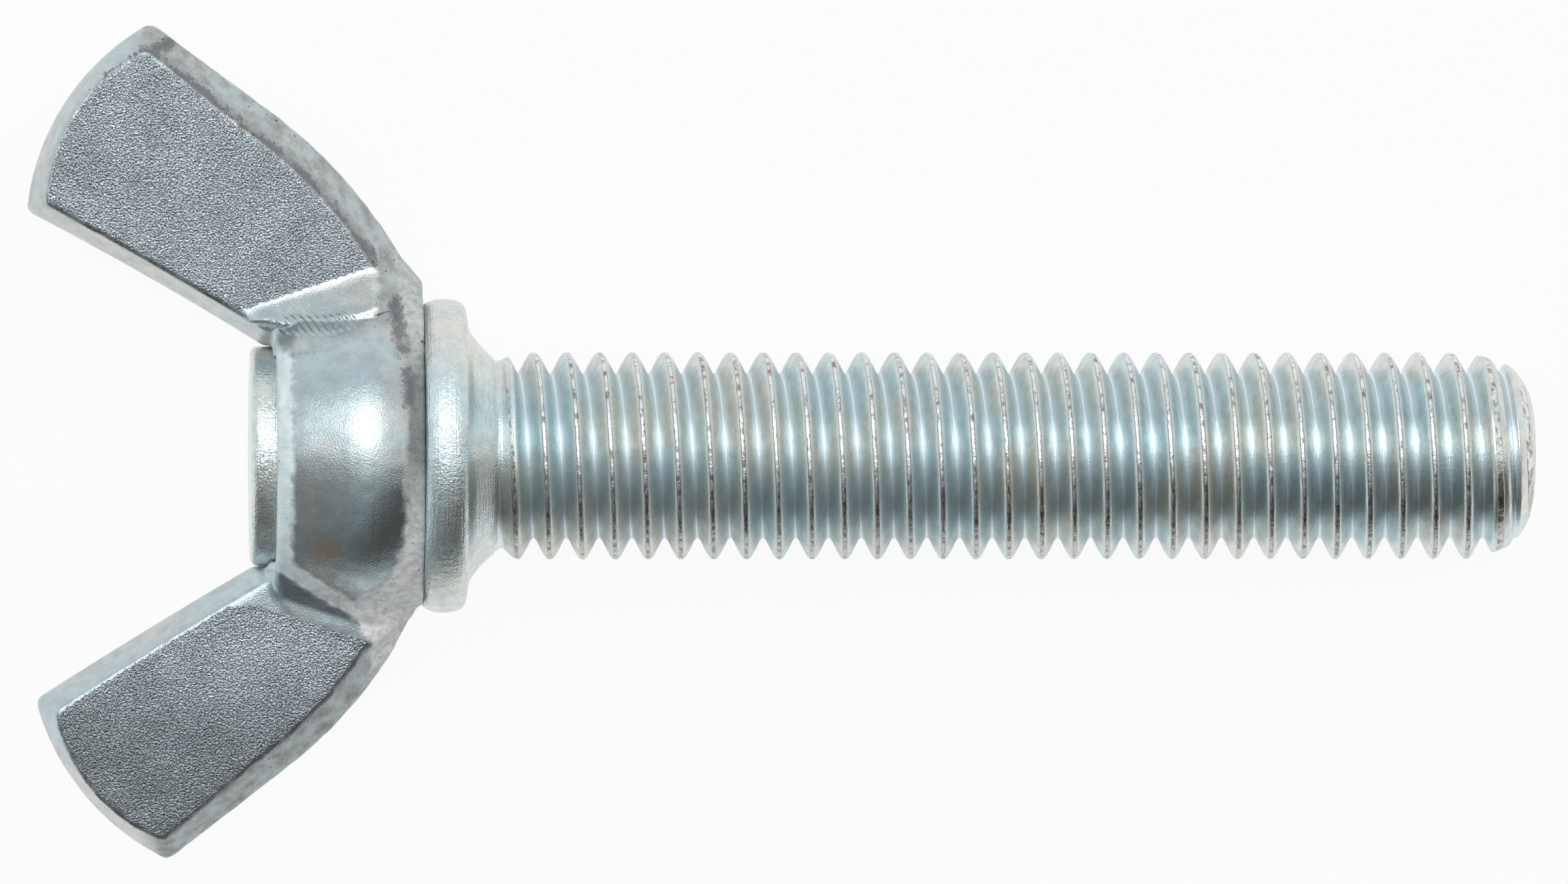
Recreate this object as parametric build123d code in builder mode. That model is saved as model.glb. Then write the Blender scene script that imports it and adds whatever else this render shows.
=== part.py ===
from build123d import *
import os
from math import atan2, cos, degrees, hypot, radians, sin, sqrt

# Wing screw, M8 x 1.25, right-hand, about 40 mm under the collar, forged wing head.
# Working frame: X runs along the screw towards its point, Y along the wings, Z square to the wings.
# X = 0 is the joint face between the head and the collar. Millimetres.

# M8 coarse thread: outside radius and stretch of full thread
major_r = 3.957
full_thread_x = 3.60
point_start_x = 39.90

# screw body
stub_r = 4.18
stub_top_x = -6.55
stub_edge = 0.22
collar_r = 5.97
collar_face_r = 5.72
collar_thick = 1.62
collar_crown_x = 0.89
seat_inner_x = 1.78
seat_inner_r = 4.80
neck_mid_x = 2.37
neck_mid_r = 4.05
neck_end_x = 3.10
neck_r = 3.48
point_break_x = 41.90
point_break_r = 3.32
point_round_x = 42.26
point_round_r = 3.15
point_x = 42.36
point_r = 2.90

# hub: foot on the collar, belly, and top round the stub
hub_r = 6.00
hub_top_r = 5.10
hub_rim_r = 5.75
hub_foot_x = -0.70
hub_belly_x = -1.90
hub_rim_x = -4.80
hub_top_x = -5.60
foot_blend = 0.30
low_blend = 0.60
belly_blend = 2.20
rim_blend = 1.10
top_blend = 0.90
bore_gap = 0.03

# wings: half thickness, the thin land at mid plane, how far each bevel runs in from the outline,
# the share of the outer bevel left at the tip, and the roundings of the two corners
wing_half = 1.70
wing_land = 0.22
outer_bevel = 1.05
tip_bevel = 0.42
inner_bevel = 0.60
tip_ease = 0.70
wing_in_y = 3.00
tip_round = 0.40
heel_round = 0.30

# longer wing's outline: X back from the collar, Y out from the axis
long_base_y = 6.65
long_shoulder_x = -0.80
long_shoulder_y = 7.57
long_bend_x = -3.16
long_bend_y = 10.76
long_straight_x = -6.11
long_straight_y = 13.35
long_tip_x = -10.33
long_tip_y = 16.48
long_bow_x = -13.12
long_bow_y = 14.10
long_heel_x = -15.03
long_heel_y = 9.33
long_inner_x = -10.46
long_inner_y = 6.84
long_root_x = -5.92
long_root_y = 4.13

# shorter wing's outline
short_base_y = 6.05
short_shoulder_x = -0.61
short_shoulder_y = 6.58
short_bend_x = -2.71
short_bend_y = 9.62
short_straight_x = -5.41
short_straight_y = 12.12
short_tip_x = -9.65
short_tip_y = 15.42
short_bow_x = -12.71
short_bow_y = 13.07
short_heel_x = -14.69
short_heel_y = 9.29
short_inner_x = -10.41
short_inner_y = 6.60
short_root_x = -6.10
short_root_y = 4.02

# lie of the finished screw
rest_roll = 18.614
rest_tilt = 2.954
shift_x = -13.6483
shift_y = -0.4991
lift = 6.0080

# ---- threaded screw: stub, collar, necked shank and chamfered point, turned and rolled as one
# The shank is drawn plain at the thread's outside diameter.
with BuildPart() as screw_body:
    with BuildSketch(Plane.XY):
        with BuildLine():
            Line((stub_top_x, 0), (stub_top_x, stub_r - stub_edge))
            Line((stub_top_x, stub_r - stub_edge), (stub_top_x + stub_edge, stub_r))
            Line((stub_top_x + stub_edge, stub_r), (0, stub_r))
            Line((0, stub_r), (0, collar_face_r))
            ThreePointArc((0, collar_face_r), (collar_crown_x, collar_r), (collar_thick, collar_face_r))
            Line((collar_thick, collar_face_r), (seat_inner_x, seat_inner_r))
            ThreePointArc((seat_inner_x, seat_inner_r), (neck_mid_x, neck_mid_r), (neck_end_x, neck_r))
            Line((neck_end_x, neck_r), (full_thread_x, major_r))
            Line((full_thread_x, major_r), (point_start_x, major_r))
            Line((point_start_x, major_r), (point_break_x, point_break_r))
            ThreePointArc((point_break_x, point_break_r), (point_round_x, point_round_r), (point_x, point_r))
            Line((point_x, point_r), (point_x, 0))
            Line((point_x, 0), (stub_top_x, 0))
        make_face()
    revolve(axis=Axis.X)


# ---- wing head
# hub sections: a round whose flanks blend into the two wing roots
def hub_section(x, round_r, blend):
    blend_y = sqrt((round_r + blend) ** 2 - (wing_half + blend) ** 2)
    blend_z = wing_half + blend
    on_round = round_r / (round_r + blend)
    lean = radians((degrees(atan2(blend_z, blend_y)) + 90) / 2)
    root = (blend_y, wing_half)
    middle = (blend_y - blend * cos(lean), blend_z - blend * sin(lean))
    meet = (blend_y * on_round, blend_z * on_round)
    with BuildSketch(Plane(origin=(x, 0, 0), x_dir=(0, 1, 0), z_dir=(1, 0, 0))) as section:
        with BuildLine():
            for s in (1, -1):
                rising = [(s * y, s * z) for y, z in (root, middle, meet)]
                falling = [(-s * y, s * z) for y, z in (meet, middle, root)]
                ThreePointArc(*rising)
                ThreePointArc(rising[-1], (0, s * round_r), falling[0])
                ThreePointArc(*falling)
                Line(falling[-1], (-s * blend_y, -s * wing_half))
        make_face()
    return section.sketch


# moves a point inwards, square to the line through its two neighbours
def set_in(point, before, after, distance):
    run = (after[0] - before[0], after[1] - before[1])
    length = hypot(run[0], run[1])
    return (point[0] - run[1] / length * distance, point[1] + run[0] / length * distance)


# a wing's outline at one height, its outer, tip and inner bevels run in by a share of their widths
def wing_outline(side, z, share, base_y, shoulder, bend, straight, tip, bow, heel, inner, root):
    outer = outer_bevel * share
    end = tip_bevel * share
    inside = inner_bevel * share
    tip_in = set_in(set_in(tip, straight, tip, outer * tip_ease), tip, bow, end)
    heel_in = set_in(set_in(heel, bow, heel, end), heel, inner, inside)
    outer_run = [
        (0, base_y - outer),
        set_in(shoulder, shoulder, bend, outer),
        set_in(bend, shoulder, straight, outer),
        set_in(straight, bend, tip, outer),
        tip_in,
    ]
    inner_run = [heel_in, set_in(inner, heel, root, inside), set_in(root, inner, root, inside)]
    out = [(x, side * y) for x, y in outer_run]
    back = [(x, side * y) for x, y in inner_run]
    bow_in = set_in(bow, tip, heel, end)
    with BuildSketch(Plane.XY.offset(z)) as outline:
        with BuildLine():
            Line((0, side * wing_in_y), out[0])
            Line(out[0], out[1])
            ThreePointArc(out[1], out[2], out[3])
            Line(out[3], out[4])
            ThreePointArc(out[4], (bow_in[0], side * bow_in[1]), back[0])
            ThreePointArc(*back)
            Line(back[2], (root[0], side * wing_in_y))
            Line((root[0], side * wing_in_y), (0, side * wing_in_y))
        make_face()
        fillet(outline.vertices().sort_by_distance((out[4][0], out[4][1], z))[0], tip_round)
        fillet(outline.vertices().sort_by_distance((back[0][0], back[0][1], z))[0], heel_round)
    return outline.sketch


long_wing = (
    long_base_y, (long_shoulder_x, long_shoulder_y), (long_bend_x, long_bend_y),
    (long_straight_x, long_straight_y), (long_tip_x, long_tip_y), (long_bow_x, long_bow_y),
    (long_heel_x, long_heel_y), (long_inner_x, long_inner_y), (long_root_x, long_root_y),
)
short_wing = (
    short_base_y, (short_shoulder_x, short_shoulder_y), (short_bend_x, short_bend_y),
    (short_straight_x, short_straight_y), (short_tip_x, short_tip_y), (short_bow_x, short_bow_y),
    (short_heel_x, short_heel_y), (short_inner_x, short_inner_y), (short_root_x, short_root_y),
)

with BuildPart() as head_body:
    add(hub_section(0, hub_r, foot_blend))
    add(hub_section(hub_foot_x, hub_r, low_blend))
    add(hub_section(hub_belly_x, hub_r, belly_blend))
    add(hub_section(hub_rim_x, hub_rim_r, rim_blend))
    add(hub_section(hub_top_x, hub_top_r, top_blend))
    loft(ruled=True)

for side, outline in [(1, long_wing), (-1, short_wing)]:
    edge = wing_outline(side, wing_land, 0, *outline)
    face = wing_outline(side, wing_half, 1, *outline)
    with BuildPart() as wing:
        add(edge)
        add(face)
        loft(ruled=True)
        extrude(edge, amount=-wing_land)
        mirror(about=Plane.XY)
    with head_body:
        add(wing.part)

with head_body:
    with Locations(Plane(origin=(stub_top_x / 2, 0, 0), z_dir=(1, 0, 0))):
        Cylinder(stub_r + bore_gap, -stub_top_x * 1.5, mode=Mode.SUBTRACT)

# ---- as it comes to rest: on the longer wing's tip, the collar and the last full turn
rest = Pos(shift_x, shift_y, lift) * Rot(0, rest_tilt, 0) * Rot(-rest_roll, 0, 0)
with BuildPart() as threaded_screw:
    add(screw_body.part.moved(rest))
threaded_screw.part.label = "threaded_screw"

with BuildPart() as wing_head:
    add(head_body.part.moved(rest))
wing_head.part.label = "wing_head"

os.makedirs("parts", exist_ok=True)
export_step(threaded_screw.part, "parts/threaded_screw.step")
export_step(wing_head.part, "parts/wing_head.step")
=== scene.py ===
import math

import bmesh
import bpy
from mathutils import Matrix, Vector, geometry, kdtree, noise


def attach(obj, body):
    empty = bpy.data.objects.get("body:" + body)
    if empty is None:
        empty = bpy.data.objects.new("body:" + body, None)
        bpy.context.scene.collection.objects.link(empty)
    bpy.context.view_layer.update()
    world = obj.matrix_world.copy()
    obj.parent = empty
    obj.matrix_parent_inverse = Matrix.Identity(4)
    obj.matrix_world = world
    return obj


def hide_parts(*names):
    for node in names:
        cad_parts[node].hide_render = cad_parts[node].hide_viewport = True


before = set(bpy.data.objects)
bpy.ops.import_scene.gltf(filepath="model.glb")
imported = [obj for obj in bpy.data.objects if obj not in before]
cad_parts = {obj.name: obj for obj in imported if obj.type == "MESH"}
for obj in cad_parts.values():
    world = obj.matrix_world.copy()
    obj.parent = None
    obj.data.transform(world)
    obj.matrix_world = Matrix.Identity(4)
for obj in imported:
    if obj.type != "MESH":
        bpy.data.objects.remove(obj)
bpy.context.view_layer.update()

# ---- Threaded screw
# A steel M8 screw, right-hand, 1.25 mm pitch. Stub, collar and neck are upset and turned, and the
# thread is rolled, so its crests stay a little torn and its roots are burnished round. The stub goes
# up through the head's bore and holds the head on the collar.
pitch = 1.25
major_r = 3.957
root_r = 3.13
# where one crest's middle lies on the longer wing's side; the sweep starts two turns before it
crest_x = 4.26
steps_per_turn = 90
turns = 34

# Everything is drawn in millimetres with X along the screw, then laid as the solids lie.
lay = (
    Matrix.Translation((-0.0136483, -0.0004991, 0.0060080))
    @ Matrix.Rotation(math.radians(2.954), 4, "Y")
    @ Matrix.Rotation(math.radians(-18.614), 4, "X")
)


def between(stops, x):
    # the value at x on straight runs between (x, value) stops
    for (x0, value0), (x1, value1) in zip(stops, stops[1:]):
        if x <= x1:
            share = max(x - x0, 0.0) / (x1 - x0)
            return value0 + (value1 - value0) * share
    return stops[-1][1]


def soft_min(a, b, reach):
    # the smaller of a and b, rounded over where they are within reach of each other
    near = max(reach - abs(a - b), 0.0) / reach
    return min(a, b) - near * near * reach / 4


def add_piece(bm, name, in_millimetres=True):
    bmesh.ops.remove_doubles(bm, verts=bm.verts[:], dist=1e-5)
    bmesh.ops.recalc_face_normals(bm, faces=bm.faces[:])
    if in_millimetres:
        bmesh.ops.transform(bm, matrix=lay @ Matrix.Scale(0.001, 4), verts=bm.verts[:])
    for face in bm.faces:
        face.smooth = True
    mesh = bpy.data.meshes.new(name)
    bm.to_mesh(mesh)
    bm.free()
    piece = bpy.data.objects.new(name, mesh)
    bpy.context.scene.collection.objects.link(piece)
    return piece


# the tooth's section: distance from the crest's middle, and height from root (0) to crest (1)
half_tooth = [
    (0.0, 1.0), (0.05, 0.99), (0.10, 0.955), (0.17, 0.865), (0.25, 0.72), (0.35, 0.505), (0.42, 0.335),
    (0.47, 0.20), (0.52, 0.10), (0.57, 0.03), (0.625, 0.0),
]
# the most radius, over the neck's run-out and the domed point: X, radius
crest_limit = [
    (2.60, 3.60), (2.97, 3.64), (3.30, 3.81), (3.67, 3.957), (39.60, 3.957), (39.97, 3.94),
    (40.49, 3.80), (41.00, 3.66), (41.50, 3.45), (41.75, 3.22), (41.93, 3.00), (42.10, 2.75),
    (42.25, 2.42), (42.36, 1.95),
]
# the groove's radius, shallower at both ends: X, radius
root_floor = [
    (2.60, 3.60), (2.97, 3.52), (3.30, 3.42), (3.64, 3.18), (3.90, 3.13), (40.6, 3.13), (41.2, 3.22),
    (41.75, 3.14), (41.93, 2.98), (42.10, 2.73), (42.25, 2.40), (42.36, 1.93),
]
# over how much height a crest rounds into its limit, and how far a root may lie under the groove's radius
crest_round = 0.06
root_slack = 0.01
# the swept thread is cut square at both ends, and the neck and point are turned on there
cut_start = 2.80
cut_end = 42.35

bm = bmesh.new()
off_crest = bm.verts.layers.float.new("off_crest")
chain = []
for gap, height in half_tooth[::-1]:
    chain.append(bm.verts.new((-gap, root_r + height * (major_r - root_r), 0)))
    chain[-1][off_crest] = gap
for gap, height in half_tooth[1:]:
    chain.append(bm.verts.new((gap, root_r + height * (major_r - root_r), 0)))
    chain[-1][off_crest] = gap
edges = [bm.edges.new(pair) for pair in zip(chain, chain[1:])]
bmesh.ops.translate(bm, verts=bm.verts[:], vec=(crest_x - 2 * pitch, 0, 0))
bmesh.ops.spin(
    bm, geom=chain + edges, cent=(0, 0, 0), axis=(1, 0, 0), dvec=(pitch / steps_per_turn, 0, 0),
    angle=math.tau, steps=steps_per_turn, use_merge=False, use_duplicate=False,
)
one_turn = bm.verts[:] + bm.edges[:] + bm.faces[:]
for turn in range(1, turns):
    copied = bmesh.ops.duplicate(bm, geom=one_turn)["geom"]
    copied_verts = [item for item in copied if isinstance(item, bmesh.types.BMVert)]
    bmesh.ops.translate(bm, verts=copied_verts, vec=(turn * pitch, 0, 0))
bmesh.ops.remove_doubles(bm, verts=bm.verts[:], dist=1e-4)
for v in bm.verts:
    x, r = v.co.x, math.hypot(v.co.y, v.co.z)
    height = (r - root_r) / (major_r - root_r)
    low = between(root_floor, x)
    new_r = soft_min(low + height * (major_r - low), between(crest_limit, x), crest_round)
    new_r = max(new_r, low - root_slack)
    v.co.y *= new_r / r
    v.co.z *= new_r / r
for x, outward in ((cut_start, -1), (cut_end, 1)):
    bmesh.ops.bisect_plane(
        bm, geom=bm.verts[:] + bm.edges[:] + bm.faces[:], dist=1e-5,
        plane_co=(x, 0, 0), plane_no=(outward, 0, 0), clear_outer=True,
    )


# points off the thread are marked as this far from a crest, so they count as plain flank
plain_gap = 0.3


def turn_on(bm, at_x, stops):
    # draws the open rim at at_x out through (x, radius) stops and closes it
    rim = [e for e in bm.edges if e.is_boundary and all(abs(v.co.x - at_x) < 1e-3 for v in e.verts)]
    for x, radius in stops:
        drawn = bmesh.ops.extrude_edge_only(bm, edges=rim)["geom"]
        rim = [item for item in drawn if isinstance(item, bmesh.types.BMEdge)]
        for v in [item for item in drawn if isinstance(item, bmesh.types.BMVert)]:
            r = math.hypot(v.co.y, v.co.z)
            v.co = (x, v.co.y * radius / r, v.co.z * radius / r)
            v[off_crest] = plain_gap
    middle = bm.verts.new((stops[-1][0], 0, 0))
    for e in rim:
        bm.faces.new((*e.verts, middle))


neck = [(2.70, 3.755), (2.55, 3.87), (2.37, 4.05), (2.15, 4.28), (1.95, 4.53), (1.78, 4.80)]
collar = [
    (1.735, 5.05), (1.68, 5.40), (1.64, 5.60), (1.60, 5.69), (1.53, 5.78), (1.42, 5.86), (1.25, 5.92),
    (1.05, 5.955), (0.85, 5.968), (0.65, 5.965), (0.45, 5.94), (0.28, 5.89), (0.14, 5.82), (0.05, 5.75),
    (0.0, 5.66), (0.0, 4.20),
]
stub = [
    (-0.04, 4.18), (-3.0, 4.18), (-5.6, 4.18), (-6.20, 4.18), (-6.33, 4.165), (-6.43, 4.12),
    (-6.50, 4.05), (-6.54, 3.95), (-6.55, 3.80), (-6.55, 2.4), (-6.55, 0.8),
]
turn_on(bm, cut_start, neck + collar + stub)
turn_on(bm, cut_end, [(42.36, 1.9), (42.36, 0.9)])
screw = add_piece(bm, "screw_rolled")

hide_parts("threaded_screw")
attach(screw, "root")


def linear(code):
    # a six-digit colour as linear light shares with full alpha
    shares = [int(code[k : k + 2], 16) / 255 for k in (0, 2, 4)]
    return (*(s / 12.92 if s <= 0.04045 else ((s + 0.055) / 1.055) ** 2.4 for s in shares), 1.0)


def add_node(tree, kind, links=None, **settings):
    made = tree.nodes.new(kind)
    for key, value in settings.items():
        setattr(made, key, value)
    for key, value in (links or {}).items():
        if isinstance(value, bpy.types.NodeSocket):
            tree.links.new(value, made.inputs[key])
        else:
            made.inputs[key].default_value = value
    return made


def local_mm(tree):
    # millimetres from the joint face, X along the screw, Z square to the wings
    coords = add_node(tree, "ShaderNodeTexCoord")
    placed = {
        "Vector": coords.outputs["Object"], "Location": lay.to_translation(), "Rotation": lay.to_euler(),
        "Scale": (0.001, 0.001, 0.001),
    }
    return add_node(tree, "ShaderNodeMapping", placed, vector_type="TEXTURE").outputs[0]


# Bright zinc over turned and rolled steel: satin, with a thin yellow-to-blue passivation tint that
# drifts along the thread, fine rings left by turning, and crests torn rough by the rolling dies.
rolled = bpy.data.materials.new("bright_zinc_on_rolled_steel")
rolled.use_nodes = True
tree = rolled.node_tree
tree.nodes.clear()
place = local_mm(tree)
along = add_node(tree, "ShaderNodeSeparateXYZ", {0: place}).outputs["X"]
crest_gap = add_node(tree, "ShaderNodeAttribute", attribute_name="off_crest").outputs["Fac"]
# grit 0.08 mm, mottling 0.5 mm, tint patches about 4 mm
grit = add_node(
    tree, "ShaderNodeTexNoise", {"Vector": place, "Scale": 12.0, "Detail": 2.0, "Roughness": 0.6},
).outputs[0]
mottle = add_node(
    tree, "ShaderNodeTexNoise", {"Vector": place, "Scale": 2.0, "Detail": 4.0, "Roughness": 0.65},
).outputs[0]
drift = add_node(tree, "ShaderNodeTexNoise", {"Vector": place, "Scale": 0.28, "Detail": 2.0}).outputs[0]
# shreds 0.4 mm long on the crests
shreds = add_node(
    tree, "ShaderNodeTexNoise", {"Vector": place, "Scale": 2.6, "Detail": 5.0, "Roughness": 0.6},
).outputs[0]
# rings round the screw, 0.05 to 0.1 mm apart
drawn_out = add_node(tree, "ShaderNodeMapping", {"Vector": place, "Scale": (14.0, 0.5, 0.5)})
rings = add_node(
    tree, "ShaderNodeTexNoise", {"Vector": drawn_out.outputs[0], "Scale": 1.0, "Detail": 2.0},
).outputs[0]
# where the thread is, from the neck on
threaded = add_node(
    tree, "ShaderNodeMapRange", {"Value": along, "From Min": 2.9, "From Max": 3.4},
).outputs[0]
# the torn crest is 0.1 to 0.17 mm wide, with a ragged border
ragged = add_node(
    tree, "ShaderNodeMath", {0: mottle, 1: -0.10, 2: crest_gap}, operation="MULTIPLY_ADD",
).outputs[0]
# and wider over the last two turns, where the blank was chamfered
last_turns = add_node(
    tree, "ShaderNodeMapRange", {"Value": along, "From Min": 40.2, "From Max": 41.0, "To Max": 0.06},
).outputs[0]
ragged = add_node(tree, "ShaderNodeMath", {0: ragged, 1: last_turns}, operation="SUBTRACT").outputs[0]
torn = add_node(
    tree, "ShaderNodeMapRange", {"Value": ragged, "From Min": 0.035, "From Max": 0.005},
).outputs[0]
torn = add_node(tree, "ShaderNodeMath", {0: torn, 1: threaded}, operation="MULTIPLY").outputs[0]
root = add_node(
    tree, "ShaderNodeMapRange", {"Value": crest_gap, "From Min": 0.46, "From Max": 0.56},
).outputs[0]

hue = add_node(
    tree, "ShaderNodeMapRange", {"Value": drift, "From Min": 0.40, "From Max": 0.62},
).outputs[0]
tint = add_node(
    tree, "ShaderNodeMix", {0: hue, 6: linear("D3E4E8"), 7: linear("E4E3DB")}, data_type="RGBA",
).outputs[2]
specks = add_node(
    tree, "ShaderNodeMapRange", {"Value": mottle, "From Min": 0.30, "From Max": 0.62},
).outputs[0]
body = add_node(
    tree, "ShaderNodeMix", {0: specks, 6: linear("C8D0D0"), 7: tint}, data_type="RGBA",
).outputs[2]
burnt_and_shaded = add_node(
    tree, "ShaderNodeMapRange", {"Value": shreds, "From Min": 0.36, "From Max": 0.52},
).outputs[0]
# painted shade: the crests are painted browner towards their low side, away from the soft box
across = add_node(tree, "ShaderNodeSeparateXYZ", {0: place}).outputs["Y"]
low_side_painted_shading = add_node(
    tree, "ShaderNodeMapRange", {"Value": across, "From Min": -0.3, "From Max": -1.6, "To Max": 0.45},
).outputs[0]
burnt_and_shaded = add_node(
    tree, "ShaderNodeMath", {0: burnt_and_shaded, 1: low_side_painted_shading}, operation="SUBTRACT", use_clamp=True,
).outputs[0]
crest_tint_and_shade = add_node(
    tree, "ShaderNodeMix", {0: burnt_and_shaded, 6: linear("90877F"), 7: linear("E6E8E6")}, data_type="RGBA",
).outputs[2]
with_crest = add_node(
    tree, "ShaderNodeMix", {0: torn, 6: body, 7: crest_tint_and_shade}, data_type="RGBA",
).outputs[2]
root_tint = add_node(
    tree, "ShaderNodeMix", {0: root, 6: with_crest, 7: linear("DCE8EC")}, data_type="RGBA",
).outputs[2]

gloss = add_node(
    tree, "ShaderNodeMapRange",
    {"Value": mottle, "From Min": 0.3, "From Max": 0.7, "To Min": 0.34, "To Max": 0.26},
)
gloss = add_node(
    tree, "ShaderNodeMath", {0: threaded, 1: 0.12, 2: gloss.outputs[0]}, operation="MULTIPLY_ADD",
)
# the thread shines more towards the point, where the dies pressed last
towards_point = add_node(
    tree, "ShaderNodeMapRange", {"Value": along, "From Min": 18.0, "From Max": 38.0, "To Max": -0.12},
)
gloss = add_node(
    tree, "ShaderNodeMath", {0: gloss.outputs[0], 1: towards_point.outputs[0]}, operation="ADD",
)
# the stub's side is turned bright
bright = add_node(
    tree, "ShaderNodeMapRange", {"Value": along, "From Min": -0.05, "From Max": -0.10, "To Max": -0.08},
)
gloss = add_node(tree, "ShaderNodeMath", {0: gloss.outputs[0], 1: bright.outputs[0]}, operation="ADD")
dull = add_node(
    tree, "ShaderNodeMath", {0: torn, 1: -0.15, 2: gloss.outputs[0]}, operation="MULTIPLY_ADD",
).outputs[0]
# relief in millimetres: torn crests 0.05, grit 0.01 on the thread to 0.026 on the collar, turned rings
# 0.01 to 0.022 on the neck, lumps 0.018 on the collar, scores along the stub 0.012
crest_relief = add_node(tree, "ShaderNodeMath", {0: torn, 1: 0.050}, operation="MULTIPLY").outputs[0]
relief = add_node(tree, "ShaderNodeMath", {0: crest_relief, 1: shreds}, operation="MULTIPLY").outputs[0]
off_thread = add_node(
    tree, "ShaderNodeMapRange",
    {"Value": along, "From Min": 3.4, "From Max": 1.6, "To Min": 0.010, "To Max": 0.026},
)
relief = add_node(
    tree, "ShaderNodeMath", {0: off_thread.outputs[0], 1: grit, 2: relief}, operation="MULTIPLY_ADD",
).outputs[0]
turned = add_node(
    tree, "ShaderNodeMapRange",
    {"Value": along, "From Min": 3.4, "From Max": 2.4, "To Min": 0.010, "To Max": 0.022},
)
relief = add_node(
    tree, "ShaderNodeMath", {0: rings, 1: turned.outputs[0], 2: relief}, operation="MULTIPLY_ADD",
).outputs[0]
lumps = add_node(tree, "ShaderNodeTexNoise", {"Vector": place, "Scale": 5.0, "Detail": 1.0}).outputs[0]
on_collar = add_node(
    tree, "ShaderNodeMapRange", {"Value": along, "From Min": 1.9, "From Max": 1.5, "To Max": 0.018},
)
relief = add_node(
    tree, "ShaderNodeMath", {0: on_collar.outputs[0], 1: lumps, 2: relief}, operation="MULTIPLY_ADD",
).outputs[0]
lengthways = add_node(tree, "ShaderNodeMapping", {"Vector": place, "Scale": (0.8, 9.0, 9.0)})
scores = add_node(
    tree, "ShaderNodeTexNoise", {"Vector": lengthways.outputs[0], "Scale": 1.0, "Detail": 2.0},
).outputs[0]
stub_part = add_node(
    tree, "ShaderNodeMapRange", {"Value": along, "From Min": -0.05, "From Max": -0.10, "To Max": 0.012},
)
relief = add_node(
    tree, "ShaderNodeMath", {0: stub_part.outputs[0], 1: scores, 2: relief}, operation="MULTIPLY_ADD",
).outputs[0]
bump = add_node(tree, "ShaderNodeBump", {"Height": relief, "Distance": 0.001, "Strength": 1.0})
shader = add_node(tree, "ShaderNodeBsdfPrincipled", {
    "Base Color": root_tint, "Metallic": 1.0, "Roughness": dull, "Normal": bump.outputs[0],
})
add_node(tree, "ShaderNodeOutputMaterial", {"Surface": shader.outputs[0]})
screw.data.materials.append(rolled)

# ---- Wing head
# One steel forging: a round hub with two unlike wings in a V, bored and riveted over the screw's stub.
# The flat wing faces are rough from scaling, the trimmed margins keep the die's skin, and the hub is
# coined into a barrel between a chamfered lip and a matt foot.
face_z = 1.70
# the barrel fades out towards the wings: degrees round the hub from square to the faces, share
wing_fade = [(50, 1.0), (64, 0.0)]
# the least radius outside the bore, height on a face or over it, and distance of the lens from the axis
bore_clear = 4.6
face_clear = 1.5
lens_clear = 4.4
# the hub's radius in the solid and as coined: X, radius
hub_solid = [(-5.60, 5.10), (-4.80, 5.75), (-1.90, 6.00), (0.0, 6.00)]
hub_barrel = [
    (-5.60, 5.00), (-5.45, 5.12), (-4.95, 5.43), (-4.80, 5.50), (-4.40, 5.59), (-3.90, 5.71),
    (-3.40, 5.825), (-2.90, 5.92), (-2.50, 5.97), (-2.10, 5.985), (-1.75, 5.965), (-1.40, 5.91),
    (-1.10, 5.84), (-0.80, 5.75), (-0.50, 5.68), (-0.15, 5.62), (-0.04, 5.59), (0.0, 5.52),
]
# where each face turns up into the hub, and the ridge the die left above it: X, distance from the axis
long_root = [(-6.87, 5.66), (-1.97, 7.30)]
short_root = [(-6.19, 5.62), (-2.07, 6.97)]
long_ridge = [(-5.60, 5.25), (-3.70, 5.30), (-2.47, 5.55), (-1.38, 5.90)]
# height over the face for every 1.5 mm from the root line (0) to the ridge (1), and just beyond it
step_base = 1.5
long_step = [
    (0.0, 0.0), (0.07, 0.02), (0.25, 0.15), (0.88, 0.74), (0.97, 0.85), (1.05, 0.87), (1.20, 0.90),
]
# the shorter wing has a flat lens there instead: millimetres in from its root line, and the most height
# over the face
short_step = [(0.0, 0.02), (0.12, 0.04), (0.62, 0.07), (0.76, 0.17), (0.95, 0.55), (1.30, 2.0)]
# the steps fade out at both ends: X, share
along_root = [(-7.0, 0.0), (-6.1, 1.0), (-1.7, 1.0), (-1.0, 0.0)]
# the hub's barrel ends and the matt foot begins along this line: Y, X
foot_line = [
    (-7.2, -1.9), (-6.85, -2.15), (-6.2, -2.6), (-5.6, -3.1), (-5.2, -2.6), (-4.45, -1.46),
    (-3.5, -1.0), (-2.0, -0.78), (5.0, -0.80), (6.5, -1.1),
]
# the same skin runs back under the barrel as a band on the shorter wing's side: X, Y of its near edge
low_band = [(-5.4, -3.5), (-4.8, -3.9), (-3.9, -4.5), (-2.6, -5.3), (-1.9, -5.6)]
# and the foot is trimmed close under the shorter wing: X, distance from the axis
foot_trim = [(-1.0, 7.2), (-0.61, 6.45), (-0.51, 6.20), (-0.26, 5.68), (0.0, 5.45)]

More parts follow.
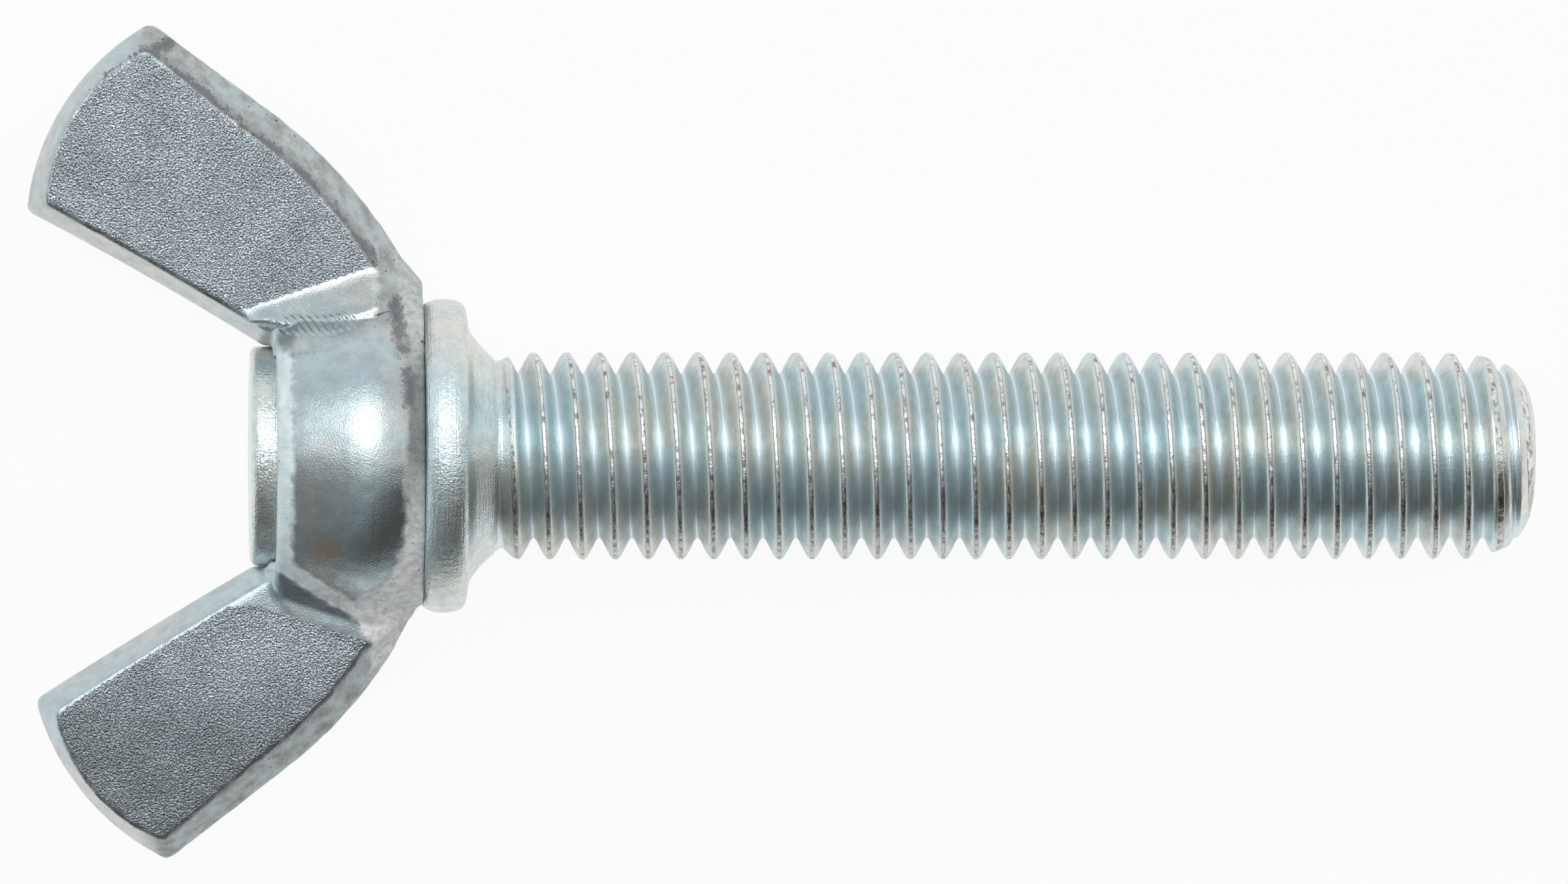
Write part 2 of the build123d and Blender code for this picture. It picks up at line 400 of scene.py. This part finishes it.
bm = bmesh.new()
bm.from_mesh(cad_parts["wing_head"].data)
bmesh.ops.remove_doubles(bm, verts=bm.verts[:], dist=1e-6)
bmesh.ops.transform(bm, matrix=Matrix.Scale(1000, 4) @ lay.inverted(), verts=bm.verts[:])
rough_form = bpy.data.meshes.new("rough_form")
bm.to_mesh(rough_form)
bm.free()
rough = bpy.data.objects.new("rough_form", rough_form)
bpy.context.scene.collection.objects.link(rough)
remesh = rough.modifiers.new("even", "REMESH")
remesh.mode = "VOXEL"
remesh.voxel_size = 0.112
even = bpy.data.meshes.new_from_object(rough.evaluated_get(bpy.context.evaluated_depsgraph_get()))
bpy.data.objects.remove(rough)
bm = bmesh.new()
bm.from_mesh(even)
smoothings = 5
for _ in range(smoothings):
    bmesh.ops.smooth_vert(
        bm, verts=bm.verts[:], factor=0.5, use_axis_x=True, use_axis_y=True, use_axis_z=True,
    )

for v in bm.verts:
    x, y, z = v.co
    level = abs(z)
    # barrel, rim and foot of the hub, faded out where the wings join
    share = between(wing_fade, math.degrees(math.atan2(abs(y), level)))
    r = math.hypot(y, z)
    if share > 0 and x > hub_barrel[0][0] - 0.05 and r > bore_clear:
        new_r = r + share * (between(hub_barrel, x) - between(hub_solid, x))
        v.co.y *= new_r / r
        v.co.z *= new_r / r
    # the die's step at each root
    out = abs(y)
    fade = between(along_root, x)
    if level > face_clear and y > 0 and fade > 0:
        start = between(long_root, x)
        reach = start - between(long_ridge, x)
        run_in = (start - out) / reach
        if 0 < run_in < long_step[-1][0]:
            stepped = max(level, face_z + between(long_step, run_in) * reach / step_base)
            v.co.z = math.copysign(level + (stepped - level) * fade, z)
    if level > face_clear and y < 0 and out > lens_clear:
        run_in = between(short_root, x) - out
        if 0 < run_in < short_step[-1][0] and fade > 0:
            stepped = min(level, face_z + between(short_step, run_in))
            v.co.z = math.copysign(level + (stepped - level) * fade, z)
    if x > foot_trim[0][0]:
        v.co.y = max(v.co.y, -between(foot_trim, x))
bmesh.ops.smooth_vert(
    bm, verts=bm.verts[:], factor=0.5, use_axis_x=True, use_axis_y=True, use_axis_z=True,
)

# How far each point belongs to the rough wing faces, the matt skin, the foot and the marked ridge, for
# the finish. A face is where the normal is square to the wings, at the faces' height.
square_on = 0.985
near_face = 0.05
# the way out from the V and the way in, over X and distance from the axis
outer_way = (0.62, 0.78)
inner_way = (-0.45, -0.89)
# margins: how far the normal leans outwards, and distance from the axis
margin_lean = [(0.25, 0.0), (0.50, 1.0)]
margin_out = [(4.6, 0.0), (5.6, 1.0)]
# foot, band and lip: millimetres past the foot's line, and in from the band's, then X and Y on the lip
foot_share = [(-0.30, 0.0), (0.30, 1.0)]
band_share = [(-0.20, 0.0), (0.20, 1.0), (0.62, 1.0), (0.92, 0.0)]
band_end = -1.9
lip_share = [(-5.20, 1.0), (-4.75, 0.0)]
lip_span = [(-4.2, 0.0), (-3.8, 1.0), (3.9, 1.0), (4.6, 0.0)]
# cutter marks: X, then millimetres from a line a little below the ridge
marked_span = [(-5.7, 0.0), (-5.3, 1.0), (-3.2, 1.0), (-2.3, 0.0)]
marked_width = [(0.0, 1.0), (0.24, 1.0), (0.38, 0.0)]
marks_below = 0.12


def leaning(way, x, y):
    return way[0] * x + way[1] * y


bm.normal_update()
on_face = bm.verts.layers.float.new("on_face")
on_skin = bm.verts.layers.float.new("on_skin")
on_foot = bm.verts.layers.float.new("on_foot")
on_ridge = bm.verts.layers.float.new("on_ridge")
off_edge = bm.verts.layers.float.new("off_edge")
for v in bm.verts:
    x, y, z = v.co
    out = abs(y)
    side = math.copysign(1, y)
    root = between(long_root if y > 0 else short_root, x)
    if abs(v.normal.z) > square_on and abs(abs(z) - face_z) < near_face and out > root:
        v[on_face] = 1.0
    else:
        foot = between(foot_share, x - between(foot_line, y if z > 0 else -y))
        band = between(band_share, between(low_band, x) - y) if x < band_end and z > 0 else 0.0
        lip = between(lip_share, x) * between(lip_span, y) if z > 0 else 0.0
        margin = between(margin_lean, leaning(outer_way, v.normal.x, v.normal.y * side))
        v[on_foot] = max(foot, band, lip)
        v[on_skin] = max(margin * between(margin_out, out), v[on_foot])
    if y > 0:
        off_marks = abs(out - between(long_ridge, x) + marks_below)
        v[on_ridge] = between(marked_width, off_marks) * between(marked_span, x)
border = []
for v in bm.verts:
    if v[on_face] > 0.5 and any(e.other_vert(v)[on_face] < 0.5 for e in v.link_edges):
        border.append(v)
face_edges = kdtree.KDTree(len(border))
for number, v in enumerate(border):
    face_edges.insert(v.co, number)
face_edges.balance()
# old scale lies beside some stretches of the faces' edges, this far out: edge and side of the axis
scale_width = {("outer", 1): 0.85, ("inner", 1): 0.30, ("outer", -1): 0.38, ("tip", -1): 0.25}
# and along a groove above the foot and over the longer wing's corner: X and distance from the axis
scale_streaks = [
    [(-1.05, 6.0), (-1.00, 5.2), (-0.90, 4.3)],
    [(-0.74, 3.5), (-0.64, 2.9), (-0.60, 2.4)],
    [(-10.15, 15.55), (-9.6, 15.75)],
]
streak_reach = 0.45
# beyond these, a point's distance from a face's edge doesn't matter
edge_reach = 2.0
scale_reach = 1.0
# how squarely the way out from the nearest edge has to point, to be beside the outer or the inner edge
facing_out = 0.35
facing_in = 0.50
on_scale = bm.verts.layers.float.new("on_scale")
for v in bm.verts:
    flat_place = v.co.xy
    for streak in scale_streaks:
        for start, end in zip(streak, streak[1:]):
            on_line, share = geometry.intersect_point_line(flat_place, start, end)
            nearest = Vector(start).lerp(Vector(end), min(max(share, 0.0), 1.0))
            if v.co.z > 0:
                nearness = 1.0 - (flat_place - nearest).length / streak_reach
                v[on_scale] = max(v[on_scale], nearness)
    nearest, number, gap = face_edges.find(v.co)
    v[off_edge] = min(gap, edge_reach)
    if v[on_face] > 0.5 or gap > scale_reach:
        continue
    side = math.copysign(1, v.co.y)
    away = (v.co - nearest) / max(gap, 1e-6)
    edge = "tip"
    if leaning(outer_way, away.x, away.y * side) > facing_out:
        edge = "outer"
    elif leaning(inner_way, away.x, away.y * side) > facing_in:
        edge = "inner"
    width = scale_width.get((edge, side), 0.0)
    if abs(v.co.y) > between(long_root if side > 0 else short_root, v.co.x) and width:
        v[on_scale] = max(v[on_scale], between([(0.0, 1.0), (width, 0.0)], gap))
# hand-finished edges and forging skin are never quite true: millimetres everywhere, on the skin and by
# the faces' edges, in waves 0.5 mm long
plain_wander = 0.006
skin_wander = 0.012
edge_wander = [(0.0, 0.022), (0.5, 0.0)]
waves_per_mm = 1.9
for v in bm.verts:
    wander = plain_wander + skin_wander * v[on_skin] + between(edge_wander, v[off_edge])
    v.co += v.normal * noise.noise(v.co * waves_per_mm) * wander
head = add_piece(bm, "head_forged")
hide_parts("wing_head")
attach(head, "root")

# Bright zinc over a steel forging. The wing faces are pebbled like coarse emery, with painted shade in
# their hollows and towards the shorter wing's tip, and painted glints that sparkle; the hub is satin with
# blue and straw patches, and the skin on the margins and foot is dull, pale and pitted, with painted
# light towards the foot's low side and a painted reflection on the lip.
forged = bpy.data.materials.new("bright_zinc_on_forging")
forged.use_nodes = True
tree = forged.node_tree
tree.nodes.clear()
place = local_mm(tree)
# grain 0.08 mm, beads 0.07 mm, grit 0.05 mm, mottling 0.6 mm, clouds 2 mm, tint patches 5 mm
pebble = add_node(
    tree, "ShaderNodeTexNoise", {"Vector": place, "Scale": 13.0, "Detail": 2.0, "Roughness": 0.6},
).outputs[0]
grit = add_node(tree, "ShaderNodeTexNoise", {"Vector": place, "Scale": 20.0, "Detail": 1.0}).outputs[0]
mottle = add_node(
    tree, "ShaderNodeTexNoise", {"Vector": place, "Scale": 1.7, "Detail": 4.0, "Roughness": 0.65},
).outputs[0]
cloud = add_node(tree, "ShaderNodeTexNoise", {"Vector": place, "Scale": 0.5, "Detail": 3.0}).outputs[0]
drift = add_node(tree, "ShaderNodeTexNoise", {"Vector": place, "Scale": 0.2, "Detail": 2.0}).outputs[0]
bead = add_node(
    tree, "ShaderNodeTexVoronoi", {"Vector": place, "Scale": 15.0, "Randomness": 1.0},
    feature="SMOOTH_F1",
).outputs["Distance"]
face = add_node(tree, "ShaderNodeAttribute", attribute_name="on_face").outputs["Fac"]
skin = add_node(tree, "ShaderNodeAttribute", attribute_name="on_skin").outputs["Fac"]
ridge = add_node(tree, "ShaderNodeAttribute", attribute_name="on_ridge").outputs["Fac"]
chalky = add_node(tree, "ShaderNodeAttribute", attribute_name="on_foot").outputs["Fac"]
scaled = add_node(tree, "ShaderNodeAttribute", attribute_name="on_scale").outputs["Fac"]
ragged = add_node(
    tree, "ShaderNodeMath", {0: pebble, 1: 0.5, 2: face}, operation="MULTIPLY_ADD",
).outputs[0]
face = add_node(
    tree, "ShaderNodeMapRange", {"Value": ragged, "From Min": 0.60, "From Max": 0.90},
).outputs[0]
ragged = add_node(
    tree, "ShaderNodeMath", {0: mottle, 1: 0.8, 2: skin}, operation="MULTIPLY_ADD",
).outputs[0]
skin = add_node(
    tree, "ShaderNodeMapRange", {"Value": ragged, "From Min": 0.65, "From Max": 1.15},
).outputs[0]
ragged = add_node(
    tree, "ShaderNodeMath", {0: mottle, 1: 1.3, 2: chalky}, operation="MULTIPLY_ADD",
).outputs[0]
chalky = add_node(
    tree, "ShaderNodeMapRange", {"Value": ragged, "From Min": 0.95, "From Max": 1.45},
).outputs[0]

hue = add_node(
    tree, "ShaderNodeMapRange", {"Value": drift, "From Min": 0.42, "From Max": 0.60},
).outputs[0]
satin = add_node(
    tree, "ShaderNodeMix", {0: hue, 6: linear("BBCBD0"), 7: linear("CBCAC4")}, data_type="RGBA",
).outputs[2]
specks = add_node(
    tree, "ShaderNodeMapRange", {"Value": mottle, "From Min": 0.30, "From Max": 0.60},
).outputs[0]
satin = add_node(
    tree, "ShaderNodeMix", {0: specks, 6: linear("AEB8BB"), 7: satin}, data_type="RGBA",
).outputs[2]
# a straw-brown stain low on the hub, 1.5 mm across
stain_gap = add_node(
    tree, "ShaderNodeVectorMath", {0: place, 1: (-3.7, -3.1, 4.7)}, operation="DISTANCE",
).outputs["Value"]
stain = add_node(
    tree, "ShaderNodeMath", {0: mottle, 1: -0.8, 2: stain_gap}, operation="MULTIPLY_ADD",
).outputs[0]
stain = add_node(
    tree, "ShaderNodeMapRange", {"Value": stain, "From Min": 0.55, "From Max": -0.25, "To Max": 0.65},
).outputs[0]
satin = add_node(
    tree, "ShaderNodeMix", {0: stain, 6: satin, 7: linear("CFA98C")}, data_type="RGBA",
).outputs[2]
# emery-like face: blue-grey hollows between bright grains, as painted shade in the low places of the
# pebbled relief, with lighter and darker clouds
grain = add_node(
    tree, "ShaderNodeMapRange", {"Value": pebble, "From Min": 0.34, "From Max": 0.64},
).outputs[0]
emery_and_painted_light = add_node(
    tree, "ShaderNodeMix", {0: grain, 6: linear("7C848C"), 7: linear("CAD4D8")}, data_type="RGBA",
).outputs[2]
# painted glints: a few grains are painted near-white, so they stand clear and shine
glint_cells = add_node(tree, "ShaderNodeTexVoronoi", {"Vector": place, "Scale": 6.0, "Randomness": 1.0})
painted_glint = add_node(
    tree, "ShaderNodeMath", {0: mottle, 1: -0.30, 2: glint_cells.outputs["Distance"]}, operation="MULTIPLY_ADD",
).outputs[0]
painted_glint = add_node(
    tree, "ShaderNodeMapRange", {"Value": painted_glint, "From Min": 0.05, "From Max": -0.01, "To Max": 0.55},
).outputs[0]
emery_and_painted_light = add_node(
    tree, "ShaderNodeMix", {0: painted_glint, 6: emery_and_painted_light, 7: linear("F2F6F8")}, data_type="RGBA",
).outputs[2]
patch = add_node(
    tree, "ShaderNodeMapRange",
    {"Value": cloud, "From Min": 0.35, "From Max": 0.65, "To Min": 0.80, "To Max": 1.0},
)
# painted shade: the shorter wing's face is painted darker towards its tip
across = add_node(tree, "ShaderNodeSeparateXYZ", {0: place}).outputs["Y"]
painted_tip_shade = add_node(
    tree, "ShaderNodeMapRange",
    {"Value": across, "From Min": -10.6, "From Max": -7.6, "To Min": 0.62, "To Max": 1.0},
)
emery_and_painted_light = add_node(
    tree, "ShaderNodeMix", {0: 1.0, 6: emery_and_painted_light, 7: painted_tip_shade.outputs[0]}, data_type="RGBA",
    blend_type="MULTIPLY",
).outputs[2]
emery_and_painted_light = add_node(
    tree, "ShaderNodeMix", {0: 1.0, 6: emery_and_painted_light, 7: patch.outputs[0]}, data_type="RGBA",
    blend_type="MULTIPLY",
).outputs[2]
# skin: pale grey to straw, with brown pits 0.1 mm across
pale = add_node(
    tree, "ShaderNodeMix", {0: specks, 6: linear("A3A39D"), 7: linear("C3CCCE")}, data_type="RGBA",
).outputs[2]
pits = add_node(
    tree, "ShaderNodeTexVoronoi", {"Vector": place, "Scale": 2.2, "Randomness": 1.0},
).outputs["Distance"]
pitted = add_node(
    tree, "ShaderNodeMath", {0: cloud, 1: -0.34, 2: pits}, operation="MULTIPLY_ADD",
).outputs[0]
pitted = add_node(
    tree, "ShaderNodeMath", {0: pebble, 1: -0.26, 2: pitted}, operation="MULTIPLY_ADD",
).outputs[0]
pitted = add_node(
    tree, "ShaderNodeMapRange", {"Value": pitted, "From Min": -0.20, "From Max": -0.25},
).outputs[0]
# the foot's chalk is painted whiter towards the low side, as painted light on the side away from the soft
# box, and veined with grey-brown 0.1 to 0.2 mm wide
low_side_painted_shading = add_node(
    tree, "ShaderNodeMapRange", {"Value": across, "From Min": 0.5, "From Max": -3.0},
).outputs[0]
chalk = add_node(
    tree, "ShaderNodeMix", {0: low_side_painted_shading, 6: linear("8C908E"), 7: linear("FFFFFF")}, data_type="RGBA",
).outputs[2]
high_side = add_node(
    tree, "ShaderNodeMapRange", {"Value": across, "From Min": 3.0, "From Max": 5.0},
).outputs[0]
chalk = add_node(
    tree, "ShaderNodeMix", {0: high_side, 6: chalk, 7: linear("CCD2D0")}, data_type="RGBA",
).outputs[2]
veins = add_node(
    tree, "ShaderNodeTexNoise", {"Vector": place, "Scale": 3.2, "Detail": 5.0, "Roughness": 0.7},
).outputs[0]
veined = add_node(
    tree, "ShaderNodeMapRange", {"Value": veins, "From Min": 0.38, "From Max": 0.58, "To Min": 0.70},
).outputs[0]
chalk = add_node(
    tree, "ShaderNodeMix", {0: 1.0, 6: chalk, 7: veined}, data_type="RGBA", blend_type="MULTIPLY",
).outputs[2]
# and bluer and paler on the lip round the stub, partly its own colour and partly a painted reflection of
# the bright wall that the lip faces
along = add_node(tree, "ShaderNodeSeparateXYZ", {0: place}).outputs["X"]
on_lip = add_node(
    tree, "ShaderNodeMapRange", {"Value": along, "From Min": -3.6, "From Max": -4.6},
).outputs[0]
lip_painted_reflection = add_node(
    tree, "ShaderNodeMix", {0: specks, 6: linear("D0DCDE"), 7: linear("E8F4F6")}, data_type="RGBA",
).outputs[2]
chalk = add_node(tree, "ShaderNodeMix", {0: on_lip, 6: chalk, 7: lip_painted_reflection}, data_type="RGBA").outputs[2]
pale = add_node(tree, "ShaderNodeMix", {0: chalky, 6: pale, 7: chalk}, data_type="RGBA").outputs[2]
pale = add_node(
    tree, "ShaderNodeMix", {0: pitted, 6: pale, 7: linear("5B5650")}, data_type="RGBA",
).outputs[2]
colour = add_node(tree, "ShaderNodeMix", {0: skin, 6: satin, 7: pale}, data_type="RGBA").outputs[2]
colour = add_node(tree, "ShaderNodeMix", {0: face, 6: colour, 7: emery_and_painted_light}, data_type="RGBA").outputs[2]
# streaks of old brown scale
near_scale = add_node(
    tree, "ShaderNodeMapRange", {"Value": scaled, "From Min": 0.02, "From Max": 0.20, "To Max": 0.75},
).outputs[0]
scaled = add_node(
    tree, "ShaderNodeMath", {0: grain, 1: 0.35, 2: scaled}, operation="MULTIPLY_ADD",
).outputs[0]
scaled = add_node(
    tree, "ShaderNodeMath", {0: mottle, 1: 2.6, 2: scaled}, operation="MULTIPLY_ADD",
).outputs[0]
scaled = add_node(
    tree, "ShaderNodeMapRange", {"Value": scaled, "From Min": 1.75, "From Max": 2.20},
).outputs[0]
scaled = add_node(tree, "ShaderNodeMath", {0: scaled, 1: near_scale}, operation="MULTIPLY").outputs[0]
colour = add_node(
    tree, "ShaderNodeMix", {0: scaled, 6: colour, 7: linear("666469")}, data_type="RGBA",
).outputs[2]

gloss = add_node(
    tree, "ShaderNodeMapRange",
    {"Value": mottle, "From Min": 0.3, "From Max": 0.7, "To Min": 0.30, "To Max": 0.22},
)
dull = add_node(
    tree, "ShaderNodeMath", {0: skin, 1: 0.30, 2: gloss.outputs[0]}, operation="MULTIPLY_ADD",
).outputs[0]
# relief in millimetres: beads 0.034 on the faces, grain 0.036 on the faces, 0.017 on the skin and 0.006
# elsewhere, grit 0.01 everywhere, and cutter marks 0.055 on the ridge
rough_part = add_node(
    tree, "ShaderNodeMath", {0: skin, 1: 0.011, 2: 0.006}, operation="MULTIPLY_ADD",
).outputs[0]
rough_part = add_node(
    tree, "ShaderNodeMath", {0: face, 1: 0.030, 2: rough_part}, operation="MULTIPLY_ADD",
).outputs[0]
relief = add_node(tree, "ShaderNodeMath", {0: rough_part, 1: pebble}, operation="MULTIPLY").outputs[0]
relief = add_node(
    tree, "ShaderNodeMath", {0: grit, 1: 0.010, 2: relief}, operation="MULTIPLY_ADD",
).outputs[0]
beaded = add_node(tree, "ShaderNodeMath", {0: face, 1: -0.034}, operation="MULTIPLY").outputs[0]
relief = add_node(
    tree, "ShaderNodeMath", {0: beaded, 1: bead, 2: relief}, operation="MULTIPLY_ADD",
).outputs[0]
slanted = add_node(
    tree, "ShaderNodeMapping",
    {"Vector": place, "Rotation": (0, 0, math.radians(-38)), "Scale": (1, 1, 0.3)},
)
marks = add_node(
    tree, "ShaderNodeTexWave",
    {"Vector": slanted.outputs[0], "Scale": 1.3, "Distortion": 1.6, "Detail": 2.0, "Detail Scale": 0.6},
)
marks = add_node(
    tree, "ShaderNodeMath", {0: marks.outputs["Fac"], 1: ridge}, operation="MULTIPLY",
).outputs[0]
relief = add_node(
    tree, "ShaderNodeMath", {0: marks, 1: 0.055, 2: relief}, operation="MULTIPLY_ADD",
).outputs[0]
bump = add_node(tree, "ShaderNodeBump", {"Height": relief, "Distance": 0.001, "Strength": 1.0})
# the foot's plating is chalky, so it scatters more light than bare metal does
metal = add_node(
    tree, "ShaderNodeMapRange",
    {"Value": chalky, "From Min": 0.0, "From Max": 1.0, "To Min": 1.0, "To Max": 0.15},
)
shader = add_node(tree, "ShaderNodeBsdfPrincipled", {
    "Base Color": colour, "Metallic": metal.outputs[0], "Roughness": dull, "Normal": bump.outputs[0],
})
add_node(tree, "ShaderNodeOutputMaterial", {"Surface": shader.outputs[0]})
head.data.materials.append(forged)

# ---- Floor
# A matt white board that the screw lies on. It is seen as plain white by the camera and in the plating,
# and keeps the screw's faint shadow.
bm = bmesh.new()
bmesh.ops.create_grid(bm, x_segments=1, y_segments=1, size=3.0)
floor = add_piece(bm, "floor", in_millimetres=False)
floor_paint = bpy.data.materials.new("matt_white_board")
floor_paint.use_nodes = True
tree = floor_paint.node_tree
tree.nodes.clear()
rays = add_node(tree, "ShaderNodeLightPath")
seen = add_node(
    tree, "ShaderNodeMath", {0: rays.outputs["Is Camera Ray"], 1: rays.outputs["Is Glossy Ray"]},
    operation="MAXIMUM",
)
board = add_node(tree, "ShaderNodeBsdfDiffuse", {"Color": linear("FAFAFA")})
glow = add_node(tree, "ShaderNodeEmission", {"Color": (1, 1, 1, 1), "Strength": 1.0})
# seven hundredths of the board stay paint, to keep the shadow
share = add_node(tree, "ShaderNodeMath", {0: seen.outputs[0], 1: 0.93}, operation="MULTIPLY")
mix = add_node(
    tree, "ShaderNodeMixShader", {0: share.outputs[0], 1: board.outputs[0], 2: glow.outputs[0]},
)
add_node(tree, "ShaderNodeOutputMaterial", {"Surface": mix.outputs[0]})
floor.data.materials.append(floor_paint)

# ---- Light
# One soft box above the wings, and pale studio walls with a dark gap on the shorter wing's side.
# Directions are told by X and by their turn about X.
world = bpy.data.worlds.new("studio")
bpy.context.scene.world = world
world.use_nodes = True
tree = world.node_tree
tree.nodes.clear()
coords = add_node(tree, "ShaderNodeTexCoord")
parts = add_node(tree, "ShaderNodeSeparateXYZ", {0: coords.outputs["Generated"]})
angle = add_node(
    tree, "ShaderNodeMath", {0: parts.outputs["Z"], 1: parts.outputs["Y"]}, operation="ARCTAN2",
)
turn = add_node(tree, "ShaderNodeMath", {0: angle.outputs[0], 1: math.pi}, operation="DIVIDE")
ramp = add_node(tree, "ShaderNodeValToRGB", {0: turn.outputs[0]})
# the walls' colours from the longer wing's side (0), over the top (0.5), to the shorter wing's side (1)
pale = "DCE4E6"
walls = [
    (0.0, pale), (0.12, pale), (0.18, "FFFFFF"), (0.36, "FFFFFF"), (0.46, "BCC2C4"), (0.60, "A0A6A8"),
    (0.88, "A0A6A8"), (0.92, pale), (1.0, pale),
]
while len(ramp.color_ramp.elements) < len(walls):
    ramp.color_ramp.elements.new(0.5)
for element, (at, code) in zip(ramp.color_ramp.elements, walls):
    element.position = at
    element.color = linear(code)
# the dark gap on the low side starts higher up towards the screw's point
nearer = add_node(tree, "ShaderNodeClamp", {"Value": parts.outputs["X"], "Min": -0.10, "Max": 0.50})
slanted = add_node(
    tree, "ShaderNodeMath", {0: nearer.outputs[0], 1: 0.48, 2: turn.outputs[0]}, operation="MULTIPLY_ADD",
)
begun = add_node(
    tree, "ShaderNodeMapRange", {"Value": slanted.outputs[0], "From Min": 0.64, "From Max": 0.70},
)
over = add_node(
    tree, "ShaderNodeMapRange", {"Value": turn.outputs[0], "From Min": 0.93, "From Max": 0.87},
)
gap = add_node(tree, "ShaderNodeMath", {0: begun.outputs[0], 1: over.outputs[0]}, operation="MULTIPLY")
room = add_node(
    tree, "ShaderNodeMix", {0: gap.outputs[0], 6: ramp.outputs["Color"], 7: linear("5C5652")},
    data_type="RGBA",
)
# a grey panel to the left, and bright ends beyond
panel_side = add_node(
    tree, "ShaderNodeMapRange", {"Value": parts.outputs["X"], "From Min": -0.15, "From Max": -0.30},
)
panel_top = add_node(
    tree, "ShaderNodeMapRange", {"Value": turn.outputs[0], "From Min": 0.34, "From Max": 0.42},
)
panel = add_node(
    tree, "ShaderNodeMath", {0: panel_side.outputs[0], 1: panel_top.outputs[0]}, operation="MULTIPLY",
)
room = add_node(
    tree, "ShaderNodeMix", {0: panel.outputs[0], 6: room.outputs[2], 7: linear("868B8C")},
    data_type="RGBA",
)
left = add_node(
    tree, "ShaderNodeMapRange", {"Value": parts.outputs["X"], "From Min": -0.65, "From Max": -0.86},
)
right = add_node(
    tree, "ShaderNodeMapRange", {"Value": parts.outputs["X"], "From Min": 0.88, "From Max": 0.98},
)
ends = add_node(
    tree, "ShaderNodeMix", {0: left.outputs[0], 6: room.outputs[2], 7: linear("F4FCFF")},
    data_type="RGBA",
)
ends = add_node(
    tree, "ShaderNodeMix", {0: right.outputs[0], 6: ends.outputs[2], 7: linear("D0D0CC")},
    data_type="RGBA",
)
rays = add_node(tree, "ShaderNodeLightPath")
shade = add_node(
    tree, "ShaderNodeMix", {0: rays.outputs["Is Camera Ray"], 6: ends.outputs[2], 7: (1, 1, 1, 1)},
    data_type="RGBA",
)
back = add_node(tree, "ShaderNodeBackground", {"Color": shade.outputs[2], "Strength": 1.0})
add_node(tree, "ShaderNodeOutputWorld", {"Surface": back.outputs[0]})

soft_box = bpy.data.lights.new("soft_box", "AREA")
soft_box.shape = "RECTANGLE"
soft_box.size = 0.25
soft_box.size_y = 0.36
soft_box.energy = 0.86
soft_box_holder = bpy.data.objects.new("soft_box", soft_box)
bpy.context.scene.collection.objects.link(soft_box_holder)
lean = math.radians(26)
soft_box_gap = 0.6
away = Vector((-0.03, math.sin(lean), math.cos(lean)))
soft_box_holder.matrix_world = (
    lay @ Matrix.Translation(away * soft_box_gap) @ away.to_track_quat("Z", "Y").to_matrix().to_4x4()
)

# ---- Camera
# A long lens 0.6 m over the screw, turned 3 degrees along it and 4 degrees across it.
yaw = math.radians(3.0)
rise = math.radians(4.0)
view = Vector((math.sin(yaw) * math.cos(rise), -math.sin(rise), -math.cos(yaw) * math.cos(rise)))
camera_gap = 0.600
middle = Vector((0.013795, 0.000529, 0.0))
right = (Vector((1, 0, 0)) - view * view.x).normalized()
above = right.cross(view)
pose = Matrix((right, above, -view)).transposed().to_4x4()
pose.translation = middle - view * camera_gap
lens = bpy.data.cameras.new("camera")
lens.sensor_width = 36.0
lens.angle = math.radians(5.70)
lens.clip_start = 0.01
camera = bpy.data.objects.new("camera", lens)
bpy.context.scene.collection.objects.link(camera)
camera.matrix_world = lay @ pose
bpy.context.scene.camera = camera
bpy.context.scene.view_settings.view_transform = "Standard"
